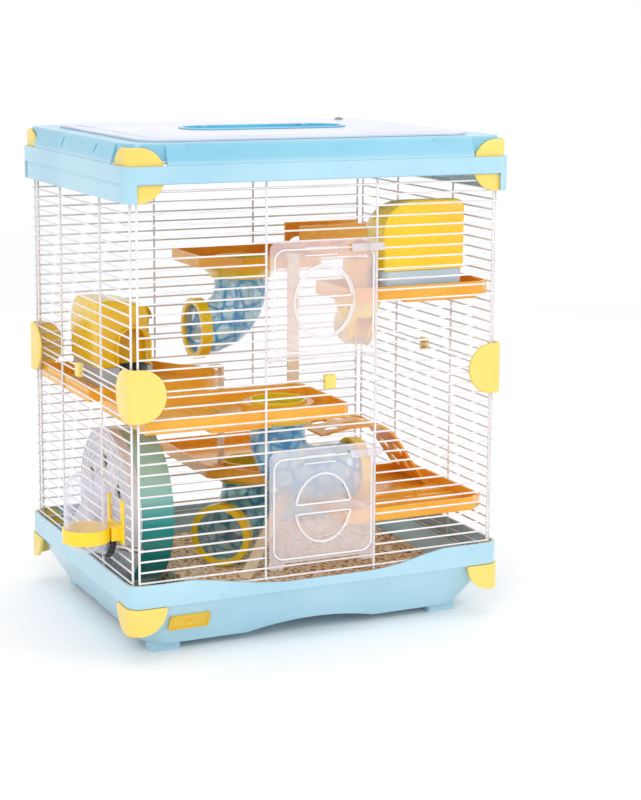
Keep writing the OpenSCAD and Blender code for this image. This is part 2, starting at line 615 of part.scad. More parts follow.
module right_hut_base() { color("#c3d3de") place() right_hut_base_shape(); }
module right_hut_roof() { color("#f7cf1d") place() right_hut_roof_shape(); }
module shelf_funnel() { color("#f7cf1d") place() shelf_funnel_shape(); }
module top_platform() { color("#f59a23") place() top_platform_shape(); }
module top_ring() { color("#f7cf1d") place() top_ring_shape(); }
module top_bridge() { color("#f08a1c") place() top_bridge_shape(); }
module back_platform() { color("#f08a1c") place() back_platform_shape(); }
module back_ring() { color("#f7cf1d") place() back_ring_shape(); }
module low_platform() { color("#f59a23") place() low_platform_shape(); }
module low_bridge() { color("#f59a23") place() low_bridge_shape(); }
module tube_top() { color("#3bb0d8") place() tube_top_shape(); }
module tube_top_ring() { color("#f7c61d") place() tube_top_ring_shape(); }
module tube_middle() { color("#3bb0d8") place() tube_middle_shape(); }
module tube_middle_ring() { color("#f7c61d") place() tube_middle_ring_shape(); }
module tube_low() { color("#2fa8c0") place() tube_low_shape(); }
module tube_low_ring() { color("#f7c61d") place() tube_low_ring_shape(); }
module ladder_top() { color("#ecdcc6") place() ladder_top_shape(); }
module ladder_middle() { color("#ecdcc6") place() ladder_middle_shape(); }
module ladder_low() { color("#ecdcc6") place() ladder_low_shape(); }
module bottle() { color("#eaf0f4") place() bottle_shape(); }
module bottle_cap() { color("#1c1c1e") place() bottle_cap_shape(); }
module sipper_tube() { color("#c8ccd0") place() sipper_tube_shape(); }
module bottle_holder() { color("#f7cf1d") place() bottle_holder_shape(); }

tray();
bedding();
name_plate();
tray_clips();
lower_front();
lower_back();
lower_left();
lower_right();
upper_front();
upper_back();
upper_left();
upper_right();
seam_clips();
clip_fl();
clip_fr();
clip_bl();
clip_br();
lid();
lid_clips();
roof_panel();
handle_cup();
carry_handle();
lid_latch();
upper_door();
upper_latch();
lower_door();
lower_latch();
wheel_drum();
wheel_cover();
wheel_stand();
left_shelf();
left_hut_base();
left_hut_roof();
middle_platform();
middle_ring();
right_shelf();
right_hut_base();
right_hut_roof();
shelf_funnel();
top_platform();
top_ring();
top_bridge();
back_platform();
back_ring();
low_platform();
low_bridge();
tube_top();
tube_top_ring();
tube_middle();
tube_middle_ring();
tube_low();
tube_low_ring();
ladder_top();
ladder_middle();
ladder_low();
bottle();
bottle_cap();
sipper_tube();
bottle_holder();
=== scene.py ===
# Looks for the hamster cage. Pieces are built in millimetres in the cage's own
# layout (centre of the tray at x = y = 0) and moved to the row frame when made.
import bpy, bmesh, json, math, random
from math import sin, cos, pi, radians, sqrt
from mathutils import Vector, Matrix, noise

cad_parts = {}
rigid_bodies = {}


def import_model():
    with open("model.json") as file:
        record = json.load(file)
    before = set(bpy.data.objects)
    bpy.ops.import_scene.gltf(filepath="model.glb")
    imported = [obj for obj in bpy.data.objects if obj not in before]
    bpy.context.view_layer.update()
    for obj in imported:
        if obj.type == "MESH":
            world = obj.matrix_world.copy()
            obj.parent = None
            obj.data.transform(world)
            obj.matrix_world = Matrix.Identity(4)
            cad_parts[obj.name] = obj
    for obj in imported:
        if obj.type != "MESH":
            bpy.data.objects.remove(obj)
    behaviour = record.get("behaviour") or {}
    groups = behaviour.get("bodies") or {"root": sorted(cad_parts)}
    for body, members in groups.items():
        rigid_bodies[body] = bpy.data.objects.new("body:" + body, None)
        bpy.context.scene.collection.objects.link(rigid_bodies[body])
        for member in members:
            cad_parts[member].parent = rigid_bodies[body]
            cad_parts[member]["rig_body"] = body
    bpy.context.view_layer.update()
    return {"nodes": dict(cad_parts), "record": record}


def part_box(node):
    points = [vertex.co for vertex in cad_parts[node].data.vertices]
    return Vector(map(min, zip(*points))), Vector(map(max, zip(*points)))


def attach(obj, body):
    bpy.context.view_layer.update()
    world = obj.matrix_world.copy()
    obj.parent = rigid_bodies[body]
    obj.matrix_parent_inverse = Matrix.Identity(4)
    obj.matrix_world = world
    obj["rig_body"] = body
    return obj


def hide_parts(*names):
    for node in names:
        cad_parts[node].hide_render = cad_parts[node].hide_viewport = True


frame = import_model()
rng = random.Random(11)
bpy.context.scene.view_settings.view_transform = "Standard"
bpy.context.scene.view_settings.look = "None"
_a, _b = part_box("tray")
OX, OY = (_a.x + _b.x) * 500, (_a.y + _b.y) * 500
BODY = {n: o["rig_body"] for n, o in frame["nodes"].items()}
SLOT = {s["node"]: s["material_slot"] for s in frame["record"]["subparts"]}

HX, HY, WR = 206.0, 163.0, 1.0
BX, BY = HX + WR + 4.2, HY + WR + 4.2
SEAM, LO, UP, PITCH, NH = 273.0, 270.0, 276.0, 11.0, 20
LO_HINGE, UP_HINGE, DOOR_OPEN = LO - 17 * PITCH, UP + 2 * PITCH, 11 * PITCH
DX = 62.0


# ---------------------------------------------------------------- materials
def nodes_of(name):
    m = bpy.data.materials.new(name)
    m.use_nodes = True
    t = m.node_tree
    b = t.nodes["Principled BSDF"]
    return m, t, b


def set_in(b, **kw):
    names = {"rough": "Roughness", "metal": "Metallic", "ior": "IOR", "trans": "Transmission Weight", "coat": "Coat Weight",
             "coat_r": "Coat Roughness", "alpha": "Alpha", "sss": "Subsurface Weight", "sss_s": "Subsurface Scale", "spec": "Specular IOR Level",
             "sheen": "Sheen Weight"}
    for k, v in kw.items():
        b.inputs[names[k]].default_value = v


def ramp(t, stops, x=None):
    r = t.nodes.new("ShaderNodeValToRGB")
    e = r.color_ramp.elements
    while len(e) < len(stops):
        e.new(0.5)
    for el, (p, c) in zip(e, stops):
        el.position = p
        el.color = (*c, 1) if len(c) == 3 else c
    if x is not None:
        t.links.new(x, r.inputs["Fac"])
    return r


def tex(t, kind, **kw):
    n = t.nodes.new(kind)
    for k, v in kw.items():
        if k in n.inputs:
            n.inputs[k].default_value = v
        else:
            setattr(n, k, v)
    return n


def math_node(t, op, a, b=None):
    n = t.nodes.new("ShaderNodeMath")
    n.operation = op
    for i, v in enumerate((a, b)):
        if v is None:
            continue
        if hasattr(v, "is_linked"):
            t.links.new(v, n.inputs[i])
        else:
            n.inputs[i].default_value = v
    return n.outputs[0]


def bumped(t, b, height, strength=0.2, dist=0.0004):
    n = t.nodes.new("ShaderNodeBump")
    n.inputs["Strength"].default_value = strength
    n.inputs["Distance"].default_value = dist
    t.links.new(height, n.inputs["Height"])
    t.links.new(n.outputs["Normal"], b.inputs["Normal"])
    return n


def plastic(name, dark, base, light, rough=0.3, coat=0.3, grain=0.12, alpha=1.0, sss=0.0, spec=0.5, scale=9.0):
    """Moulded plastic: soft colour drift, fine moulded grain, uneven gloss."""
    m, t, b = nodes_of(name)
    co = t.nodes.new("ShaderNodeTexCoord").outputs["Object"]
    n1 = tex(t, "ShaderNodeTexNoise", Scale=scale, Detail=3.0, Roughness=0.5)
    t.links.new(co, n1.inputs["Vector"])
    r = ramp(t, [(0.25, dark), (0.5, base), (0.78, light)], n1.outputs["Fac"])
    t.links.new(r.outputs["Color"], b.inputs["Base Color"])
    n2 = tex(t, "ShaderNodeTexNoise", Scale=1400.0, Detail=2.0)
    t.links.new(co, n2.inputs["Vector"])
    n3 = tex(t, "ShaderNodeTexNoise", Scale=60.0, Detail=4.0)
    t.links.new(co, n3.inputs["Vector"])
    rr = math_node(t, "MULTIPLY_ADD", n3.outputs["Fac"], 0.16)
    rr.node.inputs[2].default_value = rough - 0.08
    t.links.new(rr, b.inputs["Roughness"])
    h = math_node(t, "ADD", math_node(t, "MULTIPLY", n2.outputs["Fac"], 0.5), n3.outputs["Fac"])
    bumped(t, b, h, grain, 0.0003)
    set_in(b, coat=coat, coat_r=0.12, alpha=alpha, sss=sss, sss_s=0.01, spec=spec)
    return m


def srgb(h):
    v = [int(h[i:i + 2], 16) / 255 for i in (1, 3, 5)]
    return tuple(c / 12.92 if c <= 0.04045 else ((c + 0.055) / 1.055) ** 2.4 for c in v)


def P3(a, b, c):
    return srgb(a), srgb(b), srgb(c)


MAT = {}
MAT["light_blue_plastic"] = plastic("blue_shell", *P3("#9cc6d9", "#a7cfdf", "#b1d7e5"), rough=0.3, coat=0.35, sss=0.05, grain=0.0)
MAT["yellow_plastic"] = plastic("pale_yellow", *P3("#e8c85c", "#efd267", "#f4da78"), rough=0.33, coat=0.25, sss=0.08)
MAT["deep_yellow_plastic"] = plastic("deep_yellow", *P3("#f0be0c", "#f8ce14", "#fdd930"), rough=0.26, coat=0.4, sss=0.35, grain=0.06)
MAT["orange_plastic"] = plastic("orange", *P3("#f09f1c", "#f8b02a", "#fcbf44"), rough=0.28, coat=0.4, sss=0.35, scale=14, grain=0.06)
MAT["white_wire"] = plastic("white_coat", *P3("#dcd8da", "#e8e5e6", "#f2f0f0"), rough=0.32, coat=0.3, grain=0.05, scale=25)
MAT["frosted_plastic"] = plastic("frosted_door", *P3("#f3e4e8", "#f9edf0", "#fdf5f6"), rough=0.34, coat=0.2, alpha=0.25, grain=0.05, sss=0.1)
MAT["roof_plastic"] = plastic("roof_panel", *P3("#cfd0dc", "#d9dae5", "#e3e1ea"), rough=0.34, coat=0.2, alpha=1.0, grain=0.02)
MAT["white_plastic"] = plastic("white_plastic", *P3("#dcd6dc", "#e6e0e6", "#f0ebf0"), rough=0.3, coat=0.3, alpha=0.55)
MAT["teal_clear_plastic"] = plastic("teal_clear", *P3("#1f9f9c", "#2fb3ac", "#57c9bf"), rough=0.22, coat=0.4, alpha=0.8, grain=0.06)
MAT["blue_clear_plastic"] = plastic("blue_clear", *P3("#1b8fb8", "#2fb0d6", "#7fd4ea"), rough=0.12, coat=0.6, alpha=0.75, grain=0.06)
def tube_plastic(name, line, mid, pale, alpha=0.8, scale=62.0):
    """Clear coloured tube with a crackled net moulded into it."""
    m, t, b = nodes_of(name)
    co = t.nodes.new("ShaderNodeTexCoord").outputs["Object"]
    n1 = tex(t, "ShaderNodeTexNoise", Scale=30.0, Detail=3.0)
    t.links.new(co, n1.inputs["Vector"])
    warp = t.nodes.new("ShaderNodeMixRGB")
    warp.inputs["Fac"].default_value = 0.012
    t.links.new(co, warp.inputs["Color1"])
    t.links.new(n1.outputs["Color"], warp.inputs["Color2"])
    v = tex(t, "ShaderNodeTexVoronoi", Scale=scale, Randomness=0.85)
    v.feature = "DISTANCE_TO_EDGE"
    t.links.new(warp.outputs["Color"], v.inputs["Vector"])
    v2 = tex(t, "ShaderNodeTexVoronoi", Scale=scale, Randomness=0.85)
    t.links.new(warp.outputs["Color"], v2.inputs["Vector"])
    cell = t.nodes.new("ShaderNodeSeparateColor")
    t.links.new(v2.outputs["Color"], cell.inputs["Color"])
    r1 = ramp(t, [(0.0, line), (0.035, line), (0.07, mid), (0.16, pale)], v.outputs["Distance"])
    r2 = ramp(t, [(0.0, mid), (0.45, pale), (1.0, pale)], cell.outputs[0])
    mx = t.nodes.new("ShaderNodeMixRGB")
    mx.blend_type = "MULTIPLY"
    mx.inputs["Fac"].default_value = 0.2
    t.links.new(r1.outputs["Color"], mx.inputs["Color1"])
    t.links.new(r2.outputs["Color"], mx.inputs["Color2"])
    t.links.new(mx.outputs["Color"], b.inputs["Base Color"])
    a = t.nodes.new("ShaderNodeMapRange")
    a.inputs["From Min"].default_value, a.inputs["From Max"].default_value = 0.02, 0.11
    a.inputs["To Min"].default_value, a.inputs["To Max"].default_value = min(1.0, alpha + 0.15), alpha - 0.18
    t.links.new(v.outputs["Distance"], a.inputs["Value"])
    t.links.new(a.outputs["Result"], b.inputs["Alpha"])
    bumped(t, b, v.outputs["Distance"], 0.7, 0.0012)
    set_in(b, rough=0.1, coat=0.6, coat_r=0.05, sss=0.35, sss_s=0.01)
    return m


MAT["blue_clear_plastic"] = tube_plastic("blue_net_tube", *P3("#1f94cc", "#78d0f2", "#b2eafc"), alpha=0.56, scale=46.0)
NET_PALE = tube_plastic("blue_net_pale", *P3("#2f9fd6", "#92daf6", "#c4effd"), alpha=0.54, scale=46.0)
NET_TEAL = tube_plastic("teal_net_tube", *P3("#1690b2", "#4cc4da", "#98e6f0"), alpha=0.58, scale=46.0)
MAT["wheel_white_plastic"] = plastic("wheel_cover_white", *P3("#e0dae4", "#e9e4ec", "#f1edf3"), rough=0.28, coat=0.3, alpha=0.88, grain=0.03, sss=0.15)
MAT["grey_blue_plastic"] = plastic("grey_blue", *P3("#a9bccb", "#b7c8d5", "#c6d4de"), rough=0.36, coat=0.15)
MAT["beige_plastic"] = plastic("beige", *P3("#e6cdae", "#f1dcc0", "#f9ead6"), rough=0.5, coat=0.0, scale=30, sss=0.2)
MAT["grey_plastic"] = plastic("grey", *P3("#7e858c", "#8d949b", "#9ca3a9"), rough=0.42, coat=0.1)
MAT["clear_plastic"] = plastic("bottle_clear", *P3("#d8d4e4", "#e2deec", "#eeecf4"), rough=0.05, coat=1.0, alpha=0.3, grain=0.02)
_t = MAT["clear_plastic"].node_tree
_lw = _t.nodes.new("ShaderNodeLayerWeight")
_lw.inputs["Blend"].default_value = 0.45
_mr = _t.nodes.new("ShaderNodeMapRange")
_mr.inputs["From Min"].default_value, _mr.inputs["From Max"].default_value = 0.15, 1.0
_mr.inputs["To Min"].default_value, _mr.inputs["To Max"].default_value = 0.16, 0.92
_t.links.new(_lw.outputs["Facing"], _mr.inputs["Value"])
_t.links.new(_mr.outputs["Result"], _t.nodes["Principled BSDF"].inputs["Alpha"])
MAT["black_plastic"] = plastic("black", *P3("#0c0c10", "#15151a", "#1e1e24"), rough=0.34, coat=0.2)
MAT["steel"] = plastic("steel", *P3("#9a9da3", "#b4b7bc", "#c8cbd0"), rough=0.22, coat=0.0)
MAT["steel"].node_tree.nodes["Principled BSDF"].inputs["Metallic"].default_value = 1.0
MAT["wood_granules"] = plastic("granules", *P3("#a8753f", "#f3d3a4", "#fffaf0"), rough=0.85, coat=0.0, grain=0.6, scale=190, spec=0.2)
_cr = next(n for n in MAT["wood_granules"].node_tree.nodes if n.type == "VALTORGB").color_ramp.elements
_cr[0].position, _cr[1].position, _cr[2].position = 0.36, 0.47, 0.6


def height_painted_light(m, z0, z1, stops):
    """Painted light by height: multiplies the base colour by a ramp over height in the object (metres)."""
    t = m.node_tree
    b = t.nodes["Principled BSDF"]
    src = b.inputs["Base Color"].links[0].from_socket
    sep = t.nodes.new("ShaderNodeSeparateXYZ")
    t.links.new(t.nodes.new("ShaderNodeTexCoord").outputs["Object"], sep.inputs["Vector"])
    mr = t.nodes.new("ShaderNodeMapRange")
    mr.inputs["From Min"].default_value, mr.inputs["From Max"].default_value = z0, z1
    t.links.new(sep.outputs["Z"], mr.inputs["Value"])
    r = ramp(t, stops, mr.outputs["Result"])
    mx = t.nodes.new("ShaderNodeMixRGB")
    mx.blend_type = "MULTIPLY"
    mx.inputs["Fac"].default_value = 1.0
    t.links.new(src, mx.inputs["Color1"])
    t.links.new(r.outputs["Color"], mx.inputs["Color2"])
    t.links.new(mx.outputs["Color"], b.inputs["Base Color"])
    return m


# painted shade: above about 0.502 m the height ramp darkens the lid's sloped top band to a deeper blue
LID_BLUE = height_painted_light(plastic("lid_blue", *P3("#9cc6d9", "#a7cfdf", "#b1d7e5"), rough=0.3, coat=0.35, sss=0.05, grain=0.0), 0.48, 0.52,
                  [(0.0, (1, 1, 1)), (0.52, (0.98, 1, 1)), (0.62, (0.6, 0.84, 0.9)), (0.9, (0.56, 0.82, 0.88)), (1.0, (0.7, 0.88, 0.92))])
CUP_BLUE = plastic("cup_blue", *P3("#5fb4d4", "#6fc0de", "#84cce6"), rough=0.28, coat=0.4)
PLATE_YELLOW = plastic("plate_yellow", *P3("#dcae20", "#e6bb30", "#eec644"), rough=0.35, coat=0.2)
# painted light: below about 0.08 m the pale clear teal is darkened to a strong deep teal for back-lighting, fading back
# to pale teal by 0.16 m
MAT["teal_clear_plastic"] = height_painted_light(plastic("teal_wheel", *P3("#b4dcd4", "#c6e8e0", "#d6f0ea"), rough=0.22, coat=0.4, alpha=0.8, grain=0.05, sss=0.1), 0.08, 0.16,
                                   [(0.0, (0.0, 0.42, 0.44)), (0.25, (0.01, 0.5, 0.52)), (0.5, (0.06, 0.58, 0.6)), (0.72, (0.5, 0.86, 0.84)), (1.0, (0.8, 0.95, 0.9))])


# ---------------------------------------------------------------- mesh tools
class Mesh:
    def __init__(self):
        self.v, self.f = [], []

    def add(self, v, f):
        o = len(self.v)
        self.v += [tuple(p) for p in v]
        self.f += [tuple(i + o for i in q) for q in f]
        return self

    def obj(self, name, node, mat=None, sharp=35, body=None, replaces=True, bevel=0, seg=2):
        me = bpy.data.meshes.new(name)
        me.from_pydata([((x + OX) / 1000, (y + OY) / 1000, z / 1000) for x, y, z in self.v], [], self.f)
        bm = bmesh.new()
        bm.from_mesh(me)
        bmesh.ops.remove_doubles(bm, verts=bm.verts, dist=1e-6)
        bmesh.ops.recalc_face_normals(bm, faces=bm.faces)
        if bevel:
            es = [e for e in bm.edges if e.is_manifold and e.calc_face_angle(0) > radians(sharp)]
            bmesh.ops.bevel(bm, geom=es, offset=bevel / 1000, segments=seg, profile=0.5, affect="EDGES", clamp_overlap=True)
        return finish_mesh(bm, me, name, node, mat, sharp, body, replaces)


def finish_mesh(bm, me, name, node, mat, sharp, body, replaces):
    for f in bm.faces:
        f.smooth = True
    for e in bm.edges:
        e.smooth = not (e.is_manifold and e.calc_face_angle(0) > radians(sharp))
    bm.to_mesh(me)
    bm.free()
    ob = bpy.data.objects.new(name, me)
    bpy.context.scene.collection.objects.link(ob)
    me.materials.append(mat or MAT[SLOT[node]])
    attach(ob, body or BODY[node])
    if replaces:
        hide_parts(*( [node] if replaces is True else replaces))
    return ob


def recut(node, bevel=0.5, seg=2, limit=30, mat=None, name=None):
    """A cleaned copy of a CAD node: flat faces rejoined and every hard edge rounded."""
    me = bpy.data.meshes.new(name or node + "_round")
    bm = bmesh.new()
    bm.from_mesh(frame["nodes"][node].data)
    bmesh.ops.remove_doubles(bm, verts=bm.verts, dist=2e-6)
    bmesh.ops.dissolve_limit(bm, angle_limit=radians(0.8), verts=bm.verts, edges=bm.edges)
    es = [e for e in bm.edges if e.is_manifold and e.calc_face_angle(0) > radians(limit)]
    if bevel:
        bmesh.ops.bevel(bm, geom=es, offset=bevel / 1000, segments=seg, profile=0.5, affect="EDGES", clamp_overlap=True)
    ob = finish_mesh(bm, me, name or node + "_round", node, mat, 35, None, True)
    w = ob.modifiers.new("weighted", "WEIGHTED_NORMAL")
    w.keep_sharp = True
    return ob


def tube(path, r, n=10, closed=False, flat=1.0):
    """A round tube along points, with rounded tips where it is open."""
    p = [Vector(q) for q in path]
    m = Mesh()
    k = len(p)
    tang = []
    for i in range(k):
        a = p[(i - 1) % k] if (closed or i > 0) else p[0]
        b = p[(i + 1) % k] if (closed or i < k - 1) else p[-1]
        tang.append((b - a).normalized())
    u = tang[0].orthogonal().normalized()
    rings = []
    for i in range(k):
        u = (u - tang[i] * u.dot(tang[i])).normalized()
        w = tang[i].cross(u)
        rings.append((p[i], u.copy(), w, tang[i], 1.0))
    if not closed:
        c, u0, w0, t0, _ = rings[0]
        head = [(c, u0, w0, t0, 0.45), (c + t0 * r * 0.25, u0, w0, t0, 0.85), (c + t0 * r * 0.7, u0, w0, t0, 1.0)]
        c, u1, w1, t1, _ = rings[-1]
        tail = [(c - t1 * r * 0.7, u1, w1, t1, 1.0), (c - t1 * r * 0.25, u1, w1, t1, 0.85), (c, u1, w1, t1, 0.45)]
        rings = head + rings[1:-1] + tail
    vs = []
    for c, u, w, t, s in rings:
        for j in range(n):
            a = 2 * pi * j / n
            vs.append(c + u * (cos(a) * r * s) + w * (sin(a) * r * s * flat))
    fs = []
    kk = len(rings)
    for i in range(kk if closed else kk - 1):
        for j in range(n):
            fs.append((i * n + j, i * n + (j + 1) % n, ((i + 1) % kk) * n + (j + 1) % n, ((i + 1) % kk) * n + j))
    if not closed:
        fs.append(tuple(range(n))[::-1])
        fs.append(tuple((kk - 1) * n + j for j in range(n)))
    m.add(vs, fs)
    return m


def ring_loft(rings, closed=False, cap0=True, cap1=True):
    """Quads between rings of equal length."""
    m = Mesh()
    n, k = len(rings[0]), len(rings)
    vs = [p for r in rings for p in r]
    fs = []
    for i in range(k if closed else k - 1):
        for j in range(n):
            fs.append((i * n + j, i * n + (j + 1) % n, ((i + 1) % k) * n + (j + 1) % n, ((i + 1) % k) * n + j))
    if not closed and cap0:
        fs.append(tuple(range(n))[::-1])
    if not closed and cap1:
        fs.append(tuple((k - 1) * n + j for j in range(n)))
    return m.add(vs, fs)


def lathe(profile, at, axis=(0, 0, 1), n=72, start=None):
    """Revolves (radius, height) points about axis through at."""
    z = Vector(axis).normalized()
    x = Vector(start) if start else z.orthogonal()
    x = (x - z * x.dot(z)).normalized()
    y = z.cross(x)
    c = Vector(at)
    rings = []
    for r, h in profile:
        rings.append([c + z * h + (x * cos(2 * pi * j / n) + y * sin(2 * pi * j / n)) * max(r, 0.02) for j in range(n)])
    return ring_loft(rings)


def rr_points(cx, cy, x, y, r, n=10):
    """Rounded rectangle outline."""
    out = []
    for q, (i, j) in enumerate(((1, 1), (-1, 1), (-1, -1), (1, -1))):
        for k in range(n + 1):
            a = pi / 2 * (q + k / n)
            out.append((cx + i * (x - r) + r * cos(a), cy + j * (y - r) + r * sin(a)))
    return out


def wrap_clip(a, b, zc, r=27.0, hs=8.0, o_out=4.0, o_in=0.9, edge=1.6, top=None, bottom=None, arc0=5.0, back=True):
    """Round-ended shell bent round one corner, with a soft edge."""
    def place(s, off):
        rad = arc0 + off
        L = 9 * pi / 4
        if abs(s) <= L:
            th = pi / 4 + s / 9
            x, y = 202 + rad * cos(th), 159 + rad * sin(th)
        elif s > 0:
            x, y = 202 - (s - L), 159 + rad
        else:
            x, y = 202 + rad, 159 - (-s - L)
        return a * x, b * y
    NS, NV = 56, 26
    cols = []
    for i in range(NS + 1):
        u = -1 + 2 * i / NS
        s = hs * u * 1.0 + r * sin(u * pi / 2) if hs else r * sin(u * pi / 2)
        sc = max(abs(s) - hs, 0)
        zm = sqrt(max(r * r - sc * sc, 0))
        z_hi = min(zm, top) if top is not None else zm
        z_lo = max(-zm, bottom) if bottom is not None else -zm
        cols.append((s, z_lo, z_hi))
    def edge_drop(s, z, z_lo, z_hi):
        sc = max(abs(s) - hs, 0)
        d = min(r - sqrt(sc * sc + z * z), z_hi - z + 0.0, z - z_lo + 0.0)
        d = max(d, 0)
        return 0 if d >= edge else edge - sqrt(max(edge * edge - (edge - d) ** 2, 0))
    m = Mesh()
    front, rear = [], []
    for s, z_lo, z_hi in cols:
        for j in range(NV + 1):
            v = sin((-1 + 2 * j / NV) * pi / 2)
            z = (z_lo + z_hi) / 2 + v * (z_hi - z_lo) / 2
            off = o_out - edge_drop(s, z, z_lo, z_hi)
            x, y = place(s, off)
            front.append((x, y, zc + z))
            x, y = place(s, o_in)
            rear.append((x, y, zc + z))
    w = NV + 1
    o = len(front)
    fs = []
    for i in range(NS):
        for j in range(NV):
            q = (i * w + j, (i + 1) * w + j, (i + 1) * w + j + 1, i * w + j + 1)
            fs.append(q)
            fs.append(tuple(k + o for k in q[::-1]))
    rim = [(i * w, (i + 1) * w) for i in range(NS)] + [(i * w + NV, (i + 1) * w + NV) for i in range(NS)]
    rim += [(j, j + 1) for j in range(NV)] + [(NS * w + j, NS * w + j + 1) for j in range(NV)]
    for p, q in rim:
        fs.append((p, q, q + o, p + o))
    return m.add(front + rear, fs)


def elbow(node, name, at, z, d, l, turn, mat=None):
    """Moulded tube: straight, quarter bend, straight, with a faceted net on the outside."""
    R, N = 45.0, 84
    st = [(0.0, -d * k / max(1, int(d / 3)), 0.0) for k in range(max(1, int(d / 3)) + 1)]
    stations = [(Vector((0, 0, q[1])), Vector((0, 0, -1))) for q in st]
    nb = 30
    for k in range(1, nb + 1):
        a = pi / 2 * k / nb
        stations.append((Vector((R - R * cos(a), 0, -d - R * sin(a))), Vector((sin(a), 0, -cos(a)))))
    ne = max(2, int(l / 3))
    for k in range(1, ne + 1):
        stations.append((Vector((R + l * k / ne, 0, -d - R)), Vector((1, 0, 0))))
    rot = Matrix.Rotation(radians(turn), 3, "Z")
    c0 = Vector((at[0], at[1], z))
    out, inn = [], []
    dist = 0.0
    prev = stations[0][0]
    total = d + R * pi / 2 + l
    for c, t in stations:
        dist += (c - prev).length
        prev = c
        n = Vector((0, 1, 0))
        bn = t.cross(n)
        ro, ri = [], []
        ends = min(1.0, min(dist, total - dist) / 6.0)
        for j in range(N):
            th = 2 * pi * j / N
            g = abs(sin(3 * th + dist * 0.11)) * abs(sin(4 * th - dist * 0.13))
            rad = 29.95 - 0.9 * g * ends
            v = n * cos(th) + bn * sin(th)
            ro.append(c0 + rot @ (c + v * rad))
            ri.append(c0 + rot @ (c + v * 28.0))
        out.append(ro)
        inn.append(ri)
    m = ring_loft(out + inn[::-1], closed=True)
    return m.obj(name, node, mat, sharp=50)


def inset(pts, d):
    """Moves a closed outline inwards by d."""
    n = len(pts)
    out = []
    for i in range(n):
        a, p, b = Vector(pts[i - 1]), Vector(pts[i]), Vector(pts[(i + 1) % n])
        u, v = (p - a).normalized(), (b - p).normalized()
        n1, n2 = Vector((-u.y, u.x)), Vector((-v.y, v.x))
        m = (n1 + n2)
        if m.length < 1e-6:
            m = n1.copy()
        m.normalize()
        k = d / max(0.45, m.dot(n1))
        out.append((p.x + m.x * k, p.y + m.y * k))
    return out


def cut(ob, cutter):
    """Boolean difference, applied, then the cutter is removed."""
    b = ob.modifiers.new("cut", "BOOLEAN")
    b.operation, b.solver, b.object = "DIFFERENCE", "EXACT", cutter
    bpy.context.view_layer.update()
    dg = bpy.context.evaluated_depsgraph_get()
    me = bpy.data.meshes.new_from_object(ob.evaluated_get(dg))
    ob.modifiers.remove(b)
    ob.data = me
    bpy.data.objects.remove(cutter)
    bm = bmesh.new()
    bm.from_mesh(me)
    for f in bm.faces:
        f.smooth = True
    for e in bm.edges:
        e.smooth = not (e.is_manifold and e.calc_face_angle(0) > radians(38))
    bm.to_mesh(me)
    bm.free()


def plain(m, name):
    me = bpy.data.meshes.new(name)
    me.from_pydata([((x + OX) / 1000, (y + OY) / 1000, z / 1000) for x, y, z in m.v], [], m.f)
    bm = bmesh.new()
    bm.from_mesh(me)
    bmesh.ops.recalc_face_normals(bm, faces=bm.faces)
    bm.to_mesh(me)
    bm.free()
    ob = bpy.data.objects.new(name, me)
    bpy.context.scene.collection.objects.link(ob)
    return ob


def arch_points(cy, w, top, n=28):
    """Doorway outline, flat at the bottom: (y, z) points."""
    pts = [(cy + w, -6.0)]
    pts += [(cy + w * cos(pi * k / n), top - w + w * sin(pi * k / n)) for k in range(n + 1)]
    pts += [(cy - w, -6.0)]
    return pts


def hut(node, origin, turn, L=96.0, W=66.0):
    """Vaulted hut roof: flat front cheek, back and top drawn in, arched doorway with a rolled rim."""
    rot = Matrix.Rotation(radians(turn), 3, "Z")
    o = Vector(origin)
    tf = lambda x, y, z: o + rot @ Vector((x, y, z))
    prof = [(L / 2 - 0.6, 0.0), (L / 2 - 0.6, 34.0), (L / 2 - 0.6, 60.0)]
    prof += [(L / 2 - 9 + 8.4 * cos(radians(a)), 64.6 + 8.4 * sin(radians(a))) for a in range(0, 91, 9)]
    R = 35.6
    cx, cz = -L * 0.13, 37.0
    prof += [(cx + 30, 73.0), (cx + 18, 73.0)]
    prof += [(cx + R * 1.0 * cos(radians(a)), cz + 36.0 * sin(radians(a))) for a in range(90, 181, 5)]
    prof += [(-L / 2 + 1.3, 22.0), (-L / 2 + 1.3, 10.0), (-L / 2 + 1.3, 0.0)]

    def ring(y, d, floor=0.0):
        q = inset(prof, d)
        return [tf(x, y, max(z, floor) if i not in (0, len(q) - 1) else floor) for i, (x, z) in enumerate(q)]
    outer = []
    for y, d in ((-33.0, 2.4), (-32.7, 1.2), (-32.0, 0.45), (-31.0, 0.1), (-29.5, 0.0), (-20, 0.2), (-8, 1.0), (4, 2.4), (14, 4.6), (22, 7.4), (27.5, 10.6), (31, 14.5), (32.6, 18.5), (33.0, 23.0)):
        outer.append(ring(y, d))
    m = ring_loft(outer)
    ob = m.obj(node + "_vault", node, sharp=38)
    inner = [ring(y, d, -8.0) for y, d in ((-30.8, 3.2), (-20, 2.4), (-8, 3.2), (4, 4.6), (14, 7.0), (22, 10.4), (27, 14.4), (30.4, 20))]
    cut(ob, plain(ring_loft(inner), "cutter"))
    door = arch_points(W * 0.12, 17.4, 41.6)
    cut(ob, plain(ring_loft([[tf(L / 2 - 22, y, z) for y, z in door], [tf(L / 2 + 9, y, z) for y, z in door]]), "cutter2"))
    rim = [(W * 0.12 + 18.6, 1.0)] + [(W * 0.12 + 18.6 * cos(pi * k / 28), 24.2 + 18.6 * sin(pi * k / 28)) for k in range(29)] + [(W * 0.12 - 18.6, 1.0)]
    t = tube([tf(L / 2 + 0.6, y, z) for y, z in rim], 1.7, 10)
    t.obj(node + "_rim", node, replaces=False, sharp=60)
    for k in (-1, 1):
        pts = [tf(L / 2 - 10 + 0 * k, -33.0, 8), tf(L / 2 - 10, -33.0, 58)]
    return ob


